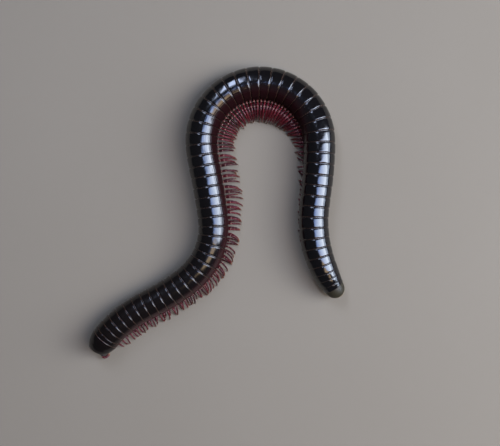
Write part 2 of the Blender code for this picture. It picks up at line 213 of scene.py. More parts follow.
# The head and the parts of its mouth, in its own axes: right, forward and up
HEAD_PLACE = 1.45
HEAD_HEIGHT = 2.6
HEAD_PITCH = 28.0
HEAD_ROLL = 10.0
CAPSULE = Orb((2.15, 1.6, 1.85), (160, 110), (0.62, 0.5))
CHEEK = Orb((0.78, 0.9, 0.85), (64, 48), (0.45, 0.5))
CHEEK_CENTRE = (1.2, 0.35, -0.95)
LABRUM = Orb((0.95, 0.45, 0.55), (64, 40), (0.4, 0.5))
LABRUM_CENTRE = (0.0, 1.0, -1.25)
LIP_PLATE = Orb((1.1, 0.95, 0.45), (96, 64), (0.2, 0.5))
LIP_PLATE_CENTRE = (0.0, -0.3, -1.4)
TOOTH = Orb((0.06, 0.06, 0.13), (12, 8), (0.1, 0.95))
TOOTH_CENTRE = (0.0, 1.12, -1.72)
TOOTH_STEP = (0.13, 0.0, 0.0)
OUTER_TOOTH_RISE = (0.0, 0.0, -0.02)
BRISTLE = Orb((0.018, 0.018, 0.3), (8, 8), (0.5, 0.95))
BRISTLE_CENTRE = (0.0, 1.42, -1.3)
BRISTLE_STEP = (0.2, 0.0, 0.0)
BRISTLE_LEAN = -25.0

# The relief of the head: (height, width) of each form, negative where it is a groove, and its place
CROWN_GROOVE = (-0.05, 0.05)
CROWN_LOWEST = -0.3
CROWN_FADE = ((-0.9, 0.0), (-0.4, 1.0))
BROW_GROOVE = (-0.03, 0.05)
BROW_HEIGHT = 0.55
BROW_RISE = 0.12
BROW_HALF = 1.35
FACE = (0.12, (1.1, 0.9, 0.5))
FACE_CENTRE = (0.0, 1.45, -0.55)
SOCKET = (-0.13, 0.28)
SOCKET_BROW = (0.06, (0.5, 0.5, 0.14))
SOCKET_BROW_RISE = (0.0, 0.0, 0.42)
EYE_RIM = (0.11, 0.13)
EYE_RIM_RADIUS = 0.52
CHEEK_SEAM = (-0.06, 0.05)
CHEEK_SEAM_PLACE = -0.15
CHEEK_SEAM_SLOPE = -0.3
LIP_SIDE_SEAM = (-0.05, 0.04)
LIP_SIDE_PLACE = 0.42
LIP_SIDE_SLOPE = -0.25
LIP_MIDDLE_SEAM = (-0.05, 0.035)

# The eyes: an oval field of lenses on brown skin, of which they cover a share and in which they are sunk
EYE_DIRECTION = (0.72, 0.6, 0.38)
EYE_HALF = (0.46, 0.38, 0.3)
SKIN_SHARE = 0.96
EYE_SKIN = Orb([SKIN_SHARE * half for half in EYE_HALF], (40, 24), (0, 0))
LENS = Orb((0.052, 0.052, 0.052), (12, 8), (1, 0))
LENS_SPACING = 0.1
LENS_ROW_SHARE = 0.87
LENS_FIELD = 0.82
LENS_HEIGHT = 0.95

# The antennae: from a socket on the head down beside the mouth, with four cones at the tip
ANTENNA_DIRECTION = (0.5, 0.85, -0.08)
ANTENNA_SOCKET = (-0.2, 0.05, 0.3)
ANTENNA_ROUTE = ((0.2, 0.5, -0.05), (0.5, 0.7, -0.4), (0.7, 0.65, -0.9), (0.75, 0.45, -1.35),
                 (0.7, 0.15, -1.7))
ANTENNA_STUB = 0.04
ANTENNA_ARTICLES = ((0.08, 0.19), (0.28, 0.21), (0.46, 0.215), (0.62, 0.23), (0.79, 0.265), (0.93, 0.30),
                    (0.985, 0.22))
ANTENNA_TIP = ((0.99, 0.1), (1.0, 0.07))
ANTENNA_COLUMNS = 24
ANTENNA_SAMPLES = 96
ANTENNA_TINT = 0.4
LOWEST_ANTENNA = 0.45
CONE = Orb((0.016, 0.016, 0.06), (8, 6), (0.5, 6.6))
CONE_TURNS = (45, 135, 225, 315)
CONE_CIRCLE = 0.04

# The tail: a hood, and two valves under and behind it
TAIL_PLACE = 119.7
TAIL_HALF = (2.05, 2.8, 1.85)
HOOD_GRID = (120, 90)
HOOD_CUT_SLOPE = 55.0
HOOD_CUT_DEPTH = 0.75
VALVE_GRID = (72, 54)
VALVE_SCALE = 0.93
VALVE_START = 0.45
VALVE_GAP = 0.03
MARGIN_WIDTH = 0.09

# The floor reaches far past the frame
FLOOR_HALF = 1500.0

# The camera looks straight down on the middle of the frame, whose width is that at VIEW_LEVEL
VIEW_CENTRE = (7.0, -1.8)
VIEW_WIDTH = 100.0
VIEW_LEVEL = 3.2
CAMERA_HEIGHT = 200.0
SENSOR_WIDTH = 36.0
NEAREST_SEEN = 10.0

# The studio's faint even light
WORLD_COLOUR = "#c9d0da"
WORLD_STRENGTH = 0.1

# The soft lights, as (name, tilt from overhead to the east and north, width and height, turn round its own
# middle, radiance, colours of the west and east ends, width of the west end as a share). All are equally far
# away, and their edges fade over some degrees.
SOFTBOXES = (
    ("softbox_east", (32.0, 1.0), (65.0, 44.0), 4.0, 20.0, ("#546fa6", "#e4eefc"), 0.3),
    ("softbox_low_east", (70.0, 3.0), (20.0, 36.0), 0.0, 8.5, ("#cfdef5", "#cfdef5"), 1.0),
    ("softbox_northwest", (-17.0, 32.0), (15.0, 36.0), 22.0, 23.0, ("#bccbec", "#bccbec"), 1.0),
    ("softbox_warm", (23.0, -17.0), (34.0, 20.0), -14.0, 6.5, ("#e0c39c", "#e0c39c"), 1.0),
)
SOFTBOX_DISTANCE = 400.0
SOFTBOX_FADE = 6.0

RANDOM = np.random.default_rng(17)


def at(table, place):
    """The value that a table of (place, value) gives at a place, or at each of many."""
    return np.interp(place, *zip(*table))


def walk_path():
    """Places, points and headings every PATH_STEP along the body's axis."""
    lengths, turns = zip(*PATH_STRETCHES)
    ends = np.cumsum((0,) + lengths)
    corners = np.cumsum((PATH_HEADING,) + turns)
    count = int(round(ends[-1] / PATH_STEP))
    middles = (np.arange(count) + 0.5) * PATH_STEP
    window = np.linspace(-0.5, 0.5, SMOOTHING_SAMPLES) * PATH_SMOOTHING
    heading = np.mean([np.interp(middles + shift, ends, corners) for shift in window], axis=0)
    east = PATH_START[0] + np.concatenate([[0], np.cumsum(np.cos(np.radians(heading)) * PATH_STEP)])
    north = PATH_START[1] + np.concatenate([[0], np.cumsum(np.sin(np.radians(heading)) * PATH_STEP)])
    return np.arange(count + 1) * PATH_STEP, east, north, np.append(heading, heading[-1])


PATH = walk_path()


def axis_height(place):
    """Height of the body's axis, as the solids have it."""
    flat = at(RADIUS, place) * math.cos(math.pi / SOLID_SIDES)
    return flat + at(CLEARANCE, place) - at(NECK_DIP, place)


def axis_point(place):
    """Points of the body's axis."""
    places, east, north = PATH[:3]
    return np.stack([np.interp(place, places, east), np.interp(place, places, north), axis_height(place)],
                    axis=-1)


def inner_side(place):
    """The level direction to the inside of the hook, which is the animal's left."""
    heading = np.radians(np.interp(place, PATH[0], PATH[3]))
    return np.stack([np.sin(heading), -np.cos(heading), np.zeros_like(heading)], axis=-1)


def unit(vectors):
    """Vectors made one long."""
    return vectors / np.linalg.norm(vectors, axis=-1, keepdims=True)


def ridge(distance, height, width):
    """A smooth ridge where the distance is 0, or a groove where the height is negative."""
    return height * np.exp(-(distance / width) ** 2)


def swell(points, centre, height, width):
    """A smooth swelling round a centre, or a hollow where the height is negative."""
    return height * np.exp(-np.sum(((points - np.array(centre)) / width) ** 2, axis=-1))


def sphere_grid(columns, rows):
    """Directions all round, in rows from the top down, with none at the poles themselves."""
    polar = ((np.arange(rows) + 0.5) * math.pi / rows)[:, None]
    around = np.arange(columns) * 2 * math.pi / columns
    return np.stack(np.broadcast_arrays(np.sin(polar) * np.cos(around), np.sin(polar) * np.sin(around),
                                        np.cos(polar)), axis=-1)


def from_belly(angles):
    """Degrees from the belly's middle line on either side, for angles from 0 to 360."""
    return 180 - np.abs(angles - 180)


def axes_at(place):
    """The directions to the tail, to the inside of the hook, and up, at a place."""
    inner = inner_side(place)
    tailward = axis_point(place + PATH_STEP) - axis_point(place - PATH_STEP)
    tailward = unit(tailward - inner * np.sum(tailward * inner, axis=-1, keepdims=True))
    return tailward, inner, np.cross(inner, tailward)


def round_body(places, angles, radii):
    """Points round the body's axis, at angles from the belly's middle line towards the animal's left."""
    places, angles, radii = np.broadcast_arrays(places, angles, radii)
    inner, up = axes_at(places)[1:]
    turned = np.radians(angles + at(ROLL, places))[..., None]
    points = axis_point(places) + radii[..., None] * (np.sin(turned) * inner - np.cos(turned) * up)
    points[..., 2] = np.maximum(points[..., 2], 0)
    return points


def animal_matrix(place, height, roll, pitch=0.0):
    """Local axes right, forward and up at a place, rolled to the left and pitched down."""
    tailward, inner = [Vector(axis) for axis in axes_at(np.float64(place))[:2]]
    level_forward = Vector((-tailward.x, -tailward.y, 0)).normalized()
    base = Matrix((-inner, level_forward, Vector((0, 0, 1)))).transposed().to_4x4()
    centre = Vector(axis_point(place))
    centre.z = height
    turn = Matrix.Rotation(math.radians(roll), 4, "Y") @ Matrix.Rotation(math.radians(-pitch), 4, "X")
    return Matrix.Translation(centre) @ base @ turn


def moved(points, matrix):
    """Points carried by a matrix."""
    matrix = np.array(matrix)
    return points @ matrix[:3, :3].T + matrix[:3, 3]


class Shape:
    """Closed skins gathered into one piece, with two pattern values at each point."""

    def __init__(self):
        self.points, self.faces, self.pattern = [], [], []
        self.count = 0

    def add(self, points, faces, pattern):
        """Adds one closed skin, turned so that its faces look outward."""
        points = np.reshape(points, (-1, 3))
        corners = [points[faces[:, corner]] for corner in range(faces.shape[1])]
        volume = sum(
            np.sum(corners[0] * np.cross(corners[corner], corners[corner + 1]))
            for corner in range(1, len(corners) - 1)
        )
        if volume < 0:
            faces = faces[:, ::-1]
        self.points.append(points)
        self.faces.append(faces + self.count)
        self.pattern.append(np.broadcast_to(pattern, (len(points), 2)))
        self.count += len(points)

    def loft(self, loops, pattern):
        """A skin through loops of points, closed by folding each end loop onto a cap of quads."""
        rows, columns = loops.shape[:2]
        index = np.arange(rows * columns).reshape(rows, columns)
        after = np.roll(index, -1, axis=1)
        walls = np.stack([index[:-1], after[:-1], after[1:], index[1:]], axis=-1).reshape(-1, 4)
        left = np.arange(columns // 2 - 1)
        right = columns - 1 - left
        caps = []
        for row, order in ((0, 1), (rows - 1, -1)):
            corners = [index[row, corner % columns] for corner in (right, right - 1, left + 1, left)]
            caps.append(np.stack(corners, axis=-1)[:, ::-order])
        self.add(loops, np.concatenate([walls] + caps), np.reshape(pattern, (-1, 2)))

    def slab(self, outer, inner, pattern):
        """A plate between an outer and an inner grid of points."""
        rows, columns = outer.shape[:2]
        top = np.arange(rows * columns).reshape(rows, columns)
        low = top + rows * columns
        quads = []
        for grid, order in ((top, 1), (low, -1)):
            face = np.stack([grid[:-1, :-1], grid[:-1, 1:], grid[1:, 1:], grid[1:, :-1]], axis=-1)
            quads.append(face.reshape(-1, 4)[:, ::order])
        for high, under in ((top[0], low[0]), (top[-1][::-1], low[-1][::-1]),
                            (top[::-1, 0], low[::-1, 0]), (top[:, -1], low[:, -1])):
            quads.append(np.stack([high[1:], high[:-1], under[:-1], under[1:]], axis=-1))
        both = np.concatenate([outer.reshape(-1, 3), inner.reshape(-1, 3)])
        values = np.reshape(pattern, (-1, 2))
        self.add(both, np.concatenate(quads), np.concatenate([values, values]))

    def orb(self, form, matrix, relief=None):
        """A rounded form put in place, raised or lowered along its normal by a relief."""
        directions = sphere_grid(*form.grid)
        points = directions * form.half
        if relief:
            points = points + unit(directions / form.half) * relief(points)[..., None]
        self.loft(moved(points, matrix), form.pattern)

    def piece(self, name, node, slot, finish):
        """Makes the finished piece: an object in metres that replaces a CAD node."""
        mesh = bpy.data.meshes.new(name)
        faces = [face for part in self.faces for face in part.tolist()]
        mesh.from_pydata((np.concatenate(self.points) * MM).tolist(), [], faces)
        corners = np.zeros(len(mesh.loops), dtype=np.int32)
        mesh.loops.foreach_get("vertex_index", corners)
        layer = mesh.uv_layers.new(name=PATTERN)
        layer.data.foreach_set("uv", np.concatenate(self.pattern)[corners].astype(np.float32).ravel())
        mesh.shade_smooth()
        mesh.materials.append(finish)
        made = bpy.data.objects.new(name, mesh)
        bpy.context.scene.collection.objects.link(made)
        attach(made, "root")
        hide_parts(node)


def linear(hex_colour):
    """An sRGB hex colour as linear red, green, blue and alpha."""
    channels = [int(hex_colour[start:start + 2], 16) / 255 for start in (1, 3, 5)]
    return [c / 12.92 if c <= 0.04045 else ((c + 0.055) / 1.055) ** 2.4 for c in channels] + [1.0]


def add_node(finish, kind, inputs=None, **settings):
    """Adds a shader node: settings are its properties, and inputs its sockets' values, hex colours, or the
    nodes or sockets that feed them."""
    made = finish.node_tree.nodes.new("ShaderNode" + kind)
    for name, value in settings.items():
        setattr(made, name, value)
    for socket, value in (inputs or {}).items():
        if isinstance(value, bpy.types.Node):
            value = next(output for output in value.outputs if output.enabled)
        if isinstance(value, bpy.types.NodeSocket):
            finish.node_tree.links.new(value, made.inputs[socket])
        else:
            made.inputs[socket].default_value = linear(value) if isinstance(value, str) else value
    return made


def new_finish(name):
    """An empty material, and the place on the object in its own axes."""
    made = bpy.data.materials.new(name)
    made.use_nodes = True
    made.node_tree.nodes.clear()
    return made, add_node(made, "TexCoord").outputs["Object"]


def pattern_values(finish):
    """The two pattern values that the pieces carry."""
    pattern = add_node(finish, "SeparateXYZ", {0: add_node(finish, "UVMap", uv_map=PATTERN)})
    return pattern.outputs[0], pattern.outputs[1]


def close_finish(finish, shader_inputs):
    """Ends a material with its shader."""
    shader = add_node(finish, "BsdfPrincipled", shader_inputs)
    add_node(finish, "OutputMaterial", {"Surface": shader})
    return finish


def black_cuticle():
    """Hardened cuticle, grown smooth and waxed: near black and mirror-like on the back, brown and duller by
    the legs and on the first rings, with fine lengthwise lines, a thin horn-coloured rim at the rear of each
    ring and a small dark pore on each of its sides. The brown by the legs is painted lighter towards the
    head: painted light on a flank lit more there than at the bend."""
    finish, where = new_finish("black_cuticle")
    girth, ring = pattern_values(finish)
    share = add_node(finish, "Math", {0: ring}, operation="FRACT")
    # Masks from 0 to 1, and where each starts and is full. The first rings' mask is full up to the sixth.
    low_side, flank, rim, sliding = [
        add_node(finish, "MapRange", {"Value": value, "From Min": start, "From Max": end},
                 interpolation_type="SMOOTHSTEP")
        for value, start, end in ((girth, 0.62, 0.38), (girth, 0.50, 0.38), (share, 0.955, 0.975),
                                  (share, 0.08, 0.06))]
    head_end = add_node(finish, "MapRange", {"Value": ring, "From Min": 24.0, "From Max": 6.0})

    # How far a point is from the pore of its ring, along the body and round it
    steps = [add_node(finish, "Math", {0: value, 1: size, 2: -size * place}, operation="MULTIPLY_ADD")
             for value, size, place in zip((share, girth), RING_SIZE, PORE_PLACE)]
    from_pore = add_node(finish, "VectorMath", {0: add_node(finish, "CombineXYZ", dict(enumerate(steps)))},
                         operation="LENGTH").outputs["Value"]
    spot = add_node(finish, "MapRange",
                    {"Value": from_pore, "From Min": PORE_RADII[0], "From Max": PORE_RADII[1]})
    has_pore = add_node(finish, "Math", {0: ring, 1: PORELESS_RINGS}, operation="GREATER_THAN")
    pore = add_node(finish, "Math", {0: spot, 1: has_pore}, operation="MULTIPLY")

    mottling = add_node(finish, "TexNoise", {"Vector": where, "Scale": 1 / (0.7 * MM), "Detail": 3.0})
    colour = add_node(finish, "Mix", {FACTOR: mottling, FIRST: "#060506", SECOND: "#0c090a"},
                      data_type="RGBA")
    # Painted light: the flank's own brown is made lighter towards the head, where the flank is lit, and stays
    # darker at the bend, where it lies in shade
    brown = add_node(finish, "Mix", {FACTOR: head_end, FIRST: "#1c0a0b", SECOND: "#351618"}, data_type="RGBA")
    for mask, over in ((head_end, "#0e0908"), (low_side, brown), (sliding, "#100c0c"), (rim, "#38251a"),
                       (pore, "#020202")):
        colour = add_node(finish, "Mix", {FACTOR: mask, FIRST: colour, SECOND: over}, data_type="RGBA")

    wear = add_node(finish, "TexNoise", {"Vector": where, "Scale": 1 / (0.25 * MM), "Detail": 3.0})
    rough = add_node(finish, "MapRange", {"Value": wear, "To Min": 0.09, "To Max": 0.16})
    folds = add_node(finish, "Math", {0: sliding, 1: rim}, operation="MAXIMUM")
    for mask, more in ((head_end, 0.04), (flank, 0.2), (folds, 0.14), (pore, 0.42)):
        rough = add_node(finish, "Math", {0: mask, 1: more, 2: rough}, operation="MULTIPLY_ADD")
    back_mirror = add_node(finish, "MapRange", {"Value": head_end, "To Min": 0.5, "To Max": 0.28})
    mirror = add_node(finish, "MapRange", {"Value": flank, "To Min": back_mirror, "To Max": 0.02})

    # Fine lengthwise lines on every ring after the first
    turn = add_node(finish, "Math", {0: girth, 1: FINE_LINES * 2 * math.pi}, operation="MULTIPLY")
    lines = add_node(finish, "Math", {0: turn}, operation="SINE")
    depth = add_node(finish, "MapRange", {"Value": ring, "From Min": 1.0, "From Max": 1.5, "To Max": 0.05})
    lined = add_node(finish, "Bump", {"Height": lines, "Strength": depth, "Distance": 0.01 * MM})
    grain = add_node(finish, "TexNoise", {"Vector": where, "Scale": 1 / (0.08 * MM), "Detail": 3.0})
    relief = add_node(finish, "Bump",
                      {"Height": grain, "Strength": 0.12, "Distance": 0.01 * MM, "Normal": lined})
    return close_finish(finish, {"Base Color": colour, "Roughness": rough, "Normal": relief, "IOR": 1.58,
                                 "Specular IOR Level": mirror})


def wine_cuticle():
    """Thin cuticle of the legs and antennae, satin and slightly see-through: wine red, with pale skin at each
    joint and horn-coloured tips. The first two joints are painted paler still, a painted highlight for the
    lit dots along the leg bases."""
    finish, where = new_finish("wine_cuticle")
    tint, article = pattern_values(finish)
    share = add_node(finish, "Math", {0: article}, operation="FRACT")
    joint_end, joint_start, tip, coxa = [
        add_node(finish, "MapRange", {"Value": value, "From Min": start, "From Max": end},
                 interpolation_type="SMOOTHSTEP")
        for value, start, end in ((share, 0.94, 1.0), (share, 0.05, 0.0), (article, 4.6, 6.4),
                                  (article, 1.1, 0.9))]
    joint = add_node(finish, "Math", {0: joint_end, 1: joint_start}, operation="MAXIMUM")
    # Pale joint skin, and at the first two joints a paler painted highlight for the row of lit dots along the
    # leg bases
    base_joints_painted_glint = add_node(finish, "Math", {0: article, 1: 2.5}, operation="LESS_THAN")
    skin = add_node(finish, "Mix", {FACTOR: base_joints_painted_glint, FIRST: "#633431", SECOND: "#9a7164"},
                    data_type="RGBA")
    colour = add_node(finish, "Mix", {FACTOR: tint, FIRST: "#330c11", SECOND: "#59191f"}, data_type="RGBA")
    for mask, over in ((tip, "#7a4c30"), (coxa, "#5a2f2c"), (joint, skin)):
        colour = add_node(finish, "Mix", {FACTOR: mask, FIRST: colour, SECOND: over}, data_type="RGBA")
    wear = add_node(finish, "TexNoise", {"Vector": where, "Scale": 1 / (0.12 * MM), "Detail": 3.0})
    rough = add_node(finish, "MapRange", {"Value": wear, "To Min": 0.24, "To Max": 0.4})
    grain = add_node(finish, "TexNoise", {"Vector": where, "Scale": 1 / (0.05 * MM), "Detail": 3.0})
    relief = add_node(finish, "Bump", {"Height": grain, "Strength": 0.25, "Distance": 0.01 * MM})
    return close_finish(finish, {"Base Color": colour, "Roughness": rough, "Normal": relief, "IOR": 1.44,
                                 "Specular IOR Level": 0.3, "Subsurface Weight": 0.15,
                                 "Subsurface Scale": 0.15 * MM})


def eye_lens():
    """Clear domed lenses over black pigment: wet-looking and black, with brown skin between them."""
    finish, where = new_finish("eye_lens")
    lens = pattern_values(finish)[0]
    colour = add_node(finish, "Mix", {FACTOR: lens, FIRST: "#2c1f1b", SECOND: "#08080a"}, data_type="RGBA")
    wear = add_node(finish, "TexNoise", {"Vector": where, "Scale": 1 / (0.05 * MM), "Detail": 3.0})
    rough = add_node(finish, "MapRange", {"Value": wear, "To Min": 0.08, "To Max": 0.16})
    return close_finish(finish, {"Base Color": colour, "Roughness": rough, "IOR": 1.5, "Coat Weight": 1.0,
                                 "Coat Roughness": 0.03})


def tail_cuticle():
    """Cuticle of the last segment: dark olive brown and low in gloss, with a thin pale margin."""
    finish, where = new_finish("tail_cuticle")
    margin = pattern_values(finish)[0]
    mottling = add_node(finish, "TexNoise", {"Vector": where, "Scale": 1 / (0.4 * MM), "Detail": 3.0})
    skin = add_node(finish, "Mix", {FACTOR: mottling, FIRST: "#221e14", SECOND: "#342e1f"},
                    data_type="RGBA")
    colour = add_node(finish, "Mix", {FACTOR: margin, FIRST: skin, SECOND: "#a08a6c"}, data_type="RGBA")
    wear = add_node(finish, "TexNoise", {"Vector": where, "Scale": 1 / (0.15 * MM), "Detail": 3.0})
    rough = add_node(finish, "MapRange", {"Value": wear, "To Min": 0.42, "To Max": 0.56})
    grain = add_node(finish, "TexNoise", {"Vector": where, "Scale": 1 / (0.07 * MM), "Detail": 3.0})
    relief = add_node(finish, "Bump", {"Height": grain, "Strength": 0.2, "Distance": 0.01 * MM})
    return close_finish(finish, {"Base Color": colour, "Roughness": rough, "Normal": relief, "IOR": 1.55,
                                 "Specular IOR Level": 0.25})


def matt_floor():
    """Smooth painted board, with no gloss: warm grey, faintly clouded."""
    finish, where = new_finish("matt_floor")
    cloud = add_node(finish, "TexNoise", {"Vector": where, "Scale": 1 / (40 * MM), "Detail": 3.0})
    colour = add_node(finish, "Mix", {FACTOR: cloud, FIRST: "#7c7263", SECOND: "#807667"}, data_type="RGBA")
    tooth = add_node(finish, "TexNoise", {"Vector": where, "Scale": 1 / (2 * MM), "Detail": 3.0})
    rough = add_node(finish, "MapRange", {"Value": tooth, "To Min": 0.75, "To Max": 0.9})
    return close_finish(finish, {"Base Color": colour, "Roughness": rough, "Specular IOR Level": 0.2})


def ring_places():
    """The places of the ring boundaries, from the collum to the tail."""
    places = [RINGS_START]
    while places[-1] < RINGS_END:
        places.append(places[-1] + at(RING_LENGTH, places[-1]))
    stretch = (RINGS_END - RINGS_START) / (places[-1] - RINGS_START)
    return [RINGS_START + (place - RINGS_START) * stretch for place in places]


def trunk_lengths(places):
    """Groups the rings into the solids' lengths, as (first ring, ring after the last)."""
    groups = []
    first = 0
    headings = np.interp(places, PATH[0], PATH[3])
    for ring in range(1, len(places) - 1):
        bend = abs(headings[ring + 1] - headings[first])
        legs_part = places[ring] < OUTER_LEGS_START <= places[ring + 1]
        if ring - first >= MOST_RINGS or bend > MOST_BEND or legs_part:
            groups.append((first, ring))
            first = ring
    if len(places) - 1 - first < FEWEST_RINGS:
        first = groups.pop()[0]
    groups.append((first, len(places) - 1))
    return groups


def tail_rings(front, rear):
    """The ring boundaries of the last length, whose rings shorten towards the tail."""
    shares = np.linspace(0, 1, TAIL_RINGS + 1)
    return front + (rear + TAIL_OVERLAP - front) * shares * (1 + TAIL_SHORTENING * (1 - shares))


def ring_relief(shares, angles):
    """The share of the radius that the lengthwise lines and the hollow of the belly take off."""
    away = from_belly(angles)
    lines = (0.5 + 0.5 * np.cos(np.radians(angles * STRIAE))) ** 2
    return STRIA_DEPTH * lines * at(DOME, shares) * at(STRIAE_FADE, away) + ridge(away, *BELLY_HOLLOW)


def waves(table, ring, shares, angles):
    """The sum of a table's waves on a ring."""
    return sum(size * np.sin(np.radians(around * angles + onward * ring + along * shares))
               for size, around, onward, along in table)


def trunk_rings(places, first):
    """The rings of one length of the trunk as one skin."""
    shape = Shape()
    angles = np.arange(RING_COLUMNS)[None, :] * 360 / RING_COLUMNS
    girth = from_belly(angles) / 180
    shares, radii = np.array(RING_PROFILE).T[..., None]
    loops, pattern = [], []
    for ring, (front, rear) in enumerate(zip(places, places[1:]), start=first):
        lip_wave = at(LIP_RISE, shares) * waves(LIP_WAVES, ring, shares, angles)
        along = front + (rear - front) * (shares + lip_wave)
        uneven = 1 + waves(RADIUS_WAVES, ring, shares, angles)
        radius = at(RADIUS, along) * radii * uneven * (1 - ring_relief(shares, angles))
        loops.append(round_body(along, angles, radius))
        pattern.append(np.stack(np.broadcast_arrays(girth, ring + np.minimum(shares, LAST_SHARE)), axis=-1))
    shape.loft(np.concatenate(loops), np.concatenate(pattern))
    return shape


def leg_profile(place, row):
    """Root, surface, knee, ankle and tip of a leg across the body, as (distance to the inside, height)."""
    radius = at(RADIUS, place)
    height = axis_height(place)
    roll = at(ROLL, place)
    angle = math.radians(roll + row * ROOT_SPREAD)
    root = (ROOT_DEPTH * radius * math.sin(angle), height - ROOT_DEPTH * radius * math.cos(angle))
    leaves = (radius * math.sin(angle), height - radius * math.cos(angle))
    if row > 0:
        reach = at(REACH, place)
        knee_height = leaves[1] + KNEE_RISE * roll
        ankle_height = max(ANKLE_SHARE * knee_height, ANKLE_LOWEST[0])
    else:
        reach = radius * (at(LOWER_REACH, roll) if place < OUTER_LEGS_START else OUTER_REACH)
        knee_height = leaves[1] + LOWER_KNEE_RISE
        ankle_height = max(ANKLE_SHARE * knee_height, ANKLE_LOWEST[1])
    knee = leaves[0] + KNEE_PLACE * (reach - leaves[0])
    ankle = leaves[0] + ANKLE_PLACE * (reach - leaves[0])

    def below_body(side, wanted):
        """A height no nearer to the body's round side than a leg may lie."""
        if abs(side) >= radius:
            return wanted
        return max(min(wanted, height - math.sqrt(radius ** 2 - side ** 2) - BODY_TO_LEG), LEG_LOWEST)

    knee_point = (knee, below_body(knee, knee_height))
    ankle_point = (ankle, below_body(ankle, ankle_height))
    return root, leaves, knee_point, ankle_point, (reach, FOOT_HEIGHT)


def leg_bunches(places, single_rings):
    """Places of a length's leg pairs, as (root place, lean of the tip towards the middle of its bunch)."""
    roots = []
    for ring, (front, rear) in enumerate(zip(places, places[1:])):
        shares = SINGLE_SHARES if ring < single_rings else PAIR_SHARES
        roots += [front + (rear - front) * share for share in shares]
    leaning = []
    for bunch in np.array_split(roots, max(1, round(len(roots) / LEGS_IN_BUNCH))):
        leaning += [(root, (bunch.mean() - root) * BUNCHING) for root in bunch]
    return leaning


def smooth_route(points, samples):
    """A smooth curve through points, with the share of its length at each sample."""
    points = np.array(points)
    padded = np.concatenate([[2 * points[0] - points[1]], points, [2 * points[-1] - points[-2]]])
    parts = []
    steps = np.linspace(0, 1, samples // (len(points) - 1), endpoint=False)[:, None]
    # Each part is a cubic from b to c, which leaves along a to c and arrives along b to d
    for a, b, c, d in zip(padded, padded[1:], padded[2:], padded[3:]):
        curve = (-a + 3 * b - 3 * c + d) * steps ** 3 + (2 * a - 5 * b + 4 * c - d) * steps ** 2
        parts.append((curve + (c - a) * steps + 2 * b) / 2)
    route = np.concatenate(parts + [points[-1:]])
    gone = np.concatenate([[0], np.cumsum(np.linalg.norm(np.diff(route, axis=0), axis=1))])
    return route, gone / gone[-1]


def jointed_tube(shape, route, gone, stations, reference, columns, tint):
    """A tube of jointed articles along a route: stations are (share, radius, pattern value)."""
    shares, radii, pattern = np.array(stations).T

    def on_route(wanted):
        """The route's points at shares of its length."""
        return np.stack([np.interp(wanted, gone, coordinate) for coordinate in route.T], axis=-1)

    direction = unit(on_route(shares + DIRECTION_STEP) - on_route(shares - DIRECTION_STEP))
    across = unit(reference - direction * np.sum(direction * reference, axis=-1, keepdims=True))
    other = np.cross(direction, across)
    turn = (np.arange(columns) + 0.5)[:, None] * 2 * math.pi / columns
    outward = np.cos(turn) * across[:, None] + np.sin(turn) * other[:, None]
    loops = on_route(shares)[:, None] + radii[:, None, None] * outward
    loops[..., 2] = np.maximum(loops[..., 2], 0)
    values = np.stack(np.broadcast_arrays(tint, pattern[:, None] + np.zeros(columns)), axis=-1)
    shape.loft(loops, values)


def article_stations(articles, start, claw):
    """Stations of a tube whose articles are narrow at each joint, after a stub that is sunk in the body."""
    stations = [(share, articles[0][1], MID_ARTICLE) for share in (0.0, STUB_SHARE * start)]
    before = start
    for number, (end, radius) in enumerate(articles):
        end = start + (1 - start) * end
        for share, width in ARTICLE_SHAPE:
            stations.append((before + (end - before) * share, radius * width,
                             number + min(share, LAST_SHARE)))
        before = end + JOINT_GAP
    for share, radius in claw:
        stations.append((start + (1 - start) * share, radius, len(articles) + MID_ARTICLE))
    return stations


def trunk_legs(places, single_rings):
    """The legs of one length of the trunk, both rows, each with six articles and a claw."""
    shape = Shape()
    for place, lean in leg_bunches(places, single_rings):
        sweep = at(SWEEP, place)
        for row in (1, -1):
            tint, high, wide, forward = RANDOM.random(4)
            points = []
            foot = lean - sweep + FOOT_STRAY * (forward - 0.5)
            profile = leg_profile(place, row)
            for (side, height), share, lower in zip(profile, SWEEP_SHARES, LOWER_ROW_SHARES):
                along = place + share * foot + LOWER_ROW_SHIFT * lower * (row < 0)
                side = side * (1 - LEG_SHORTENING * wide * share)
                height = height * (1 + LEG_LIFT * (high - 0.5) * (1 - abs(2 * share - 1)))
                ground = axis_point(along)
                ground[2] = 0
                points.append(ground + inner_side(along) * side + np.array((0, 0, height)))
            route, gone = smooth_route(points, LEG_SAMPLES)
            start = gone[len(route) // (len(profile) - 1)]
            stations = article_stations(LEG_ARTICLES, start, CLAW)
            jointed_tube(shape, route, gone, stations, axes_at(place)[0], LEG_COLUMNS, tint)
    return shape


def build_trunk(cuticle, legs):
    """The lengths of the trunk, each as a piece of rings and a piece of legs."""
    places = ring_places()
    last_legs = len(places) - 1 - LEGLESS_RINGS
    for number, (first, after) in enumerate(trunk_lengths(places), start=1):
        node = f"trunk_{number:02d}"
        last = after == len(places) - 1
        ring_ends = tail_rings(places[first], places[after]) if last else places[first:after + 1]
        trunk_rings(ring_ends, first).piece(node + ".rings", node, "cuticle", cuticle)
        single_rings = max(0, SINGLE_PAIR_RINGS - first)
        leg_places = places[first:min(after, last_legs) + 1]
        trunk_legs(leg_places, single_rings).piece(node + ".legs", node, "leg_cuticle", legs)


